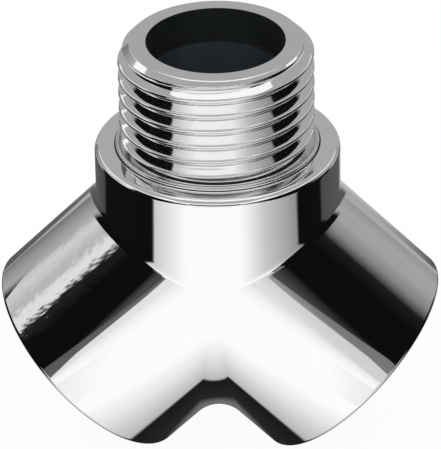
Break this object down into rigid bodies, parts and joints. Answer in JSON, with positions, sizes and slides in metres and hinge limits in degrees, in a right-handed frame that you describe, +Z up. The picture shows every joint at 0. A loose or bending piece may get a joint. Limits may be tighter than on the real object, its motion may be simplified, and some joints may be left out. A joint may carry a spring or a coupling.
{
  "type": "y-piece fitting",
  "caption": "Chrome-plated Y-piece for a shower or bath: a threaded inlet on a round body that parts into angled outlet sockets.",
  "frame": {"origin": "On the inlet's axis, in the plane of the shoulder under its thread.", "axes": "+Z up the inlet, along its thread. X across the two branches, which lie in the XZ plane and slope down. -Y is the side seen in the picture."},
  "size_m": [0.0476, 0.0264, 0.0477],
  "materials": {
    "chrome": "polished chrome plate on brass"
  },
  "bodies": {
    "root": {"y_piece": "chrome"}
  },
  "joints": []
}
